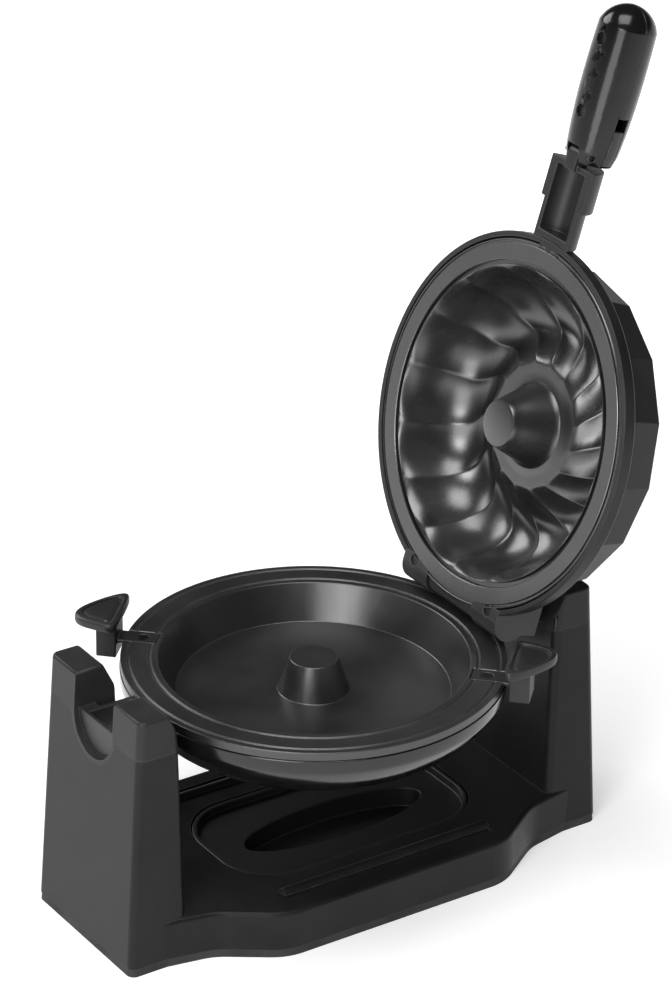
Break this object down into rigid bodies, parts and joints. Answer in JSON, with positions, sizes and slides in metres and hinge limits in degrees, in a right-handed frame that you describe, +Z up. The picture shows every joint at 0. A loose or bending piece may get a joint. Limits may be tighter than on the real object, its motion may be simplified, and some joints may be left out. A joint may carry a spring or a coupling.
{
  "type": "flip-over ring-cake maker",
  "caption": "Electric flip-over ring-cake maker: round pan on journals between two towers, hinged fluted lid with folding handle, drip tray in the stand.",
  "frame": {"origin": "centre of the stand's underside, on the surface it stands on", "axes": "+X from the handle end to the hinge end, +Y away from the front, +Z up"},
  "size_m": [0.3983, 0.236, 0.5223],
  "materials": {
    "stand_plastic": "fine matte grain, black",
    "cap_plastic": "fine matte grain, very dark grey",
    "plate_plastic": "matte black",
    "screw_steel": "zinc plated",
    "pad_rubber": "matte",
    "bearing_plastic": "smooth, low friction",
    "gloss_black": "polished black",
    "nonstick": "dark grey non-stick coating, satin",
    "ear_plastic": "semi-gloss black",
    "hinge_metal": "black coated casting",
    "pin_steel": "ground",
    "element_steel": "heat-dulled sheath",
    "reflector_sheet": "bright sheet",
    "control_brass": "plain"
  },
  "bodies": {
    "base": {"base_housing": "stand_plastic", "front_cap": "cap_plastic", "rear_cap": "cap_plastic", "cap_screws": "screw_steel", "bottom_plate": "plate_plastic", "rubber_feet": "pad_rubber", "base_screws": "screw_steel", "front_saddle": "bearing_plastic", "rear_saddle": "bearing_plastic", "cord_grommet": "pad_rubber"},
    "tray": {"drip_tray": "stand_plastic"},
    "pan": {"lower_housing": "gloss_black", "baking_plate": "nonstick", "ear_screws": "screw_steel", "front_ear_arm": "ear_plastic", "front_ear_grip": "ear_plastic", "rear_ear_arm": "ear_plastic", "rear_ear_grip": "ear_plastic", "lower_element": "element_steel", "lower_reflector": "reflector_sheet", "thermostat": "control_brass", "plate_screws": "screw_steel", "front_journal": "hinge_metal", "hinge_hub": "hinge_metal"},
    "lid": {"lid_housing": "gloss_black", "lid_mold": "nonstick", "lid_element": "element_steel", "lid_reflector": "reflector_sheet", "mold_screws": "screw_steel", "near_hinge_cheek": "hinge_metal", "far_hinge_cheek": "hinge_metal", "hinge_screws": "screw_steel", "hinge_pin": "pin_steel", "handle_bracket": "hinge_metal", "bracket_screws": "screw_steel"},
    "handle": {"grip_lower": "gloss_black", "grip_upper": "gloss_black", "grip_screws": "screw_steel", "fold_pin": "pin_steel"},
    "lock": {"lock_slider": "ear_plastic"}
  },
  "joints": [
    {"name": "pan_flip", "type": "hinge", "parent": "base", "child": "pan", "pos_m": [0, 0, 0.1455], "axis": [1, 0, 0], "range_deg": [-3, 3]},
    {"name": "lid_hinge", "type": "hinge", "parent": "pan", "child": "lid", "pos_m": [0.103, 0, 0.159], "axis": [0, 1, 0], "range_deg": [-107, 0]},
    {"name": "handle_fold", "type": "hinge", "parent": "lid", "child": "handle", "pos_m": [0.17677, 0, 0.43449], "axis": [0, -1, 0], "range_deg": [0, 90]},
    {"name": "lock_slide", "type": "slide", "parent": "handle", "child": "lock", "axis": [0.294, 0, 0.9558], "range_m": [0, 0.006], "stiffness_N_per_m": 200},
    {"name": "tray_lift", "type": "slide", "parent": "base", "child": "tray", "axis": [0, 0, 1], "range_m": [0, 0.04]}
  ]
}
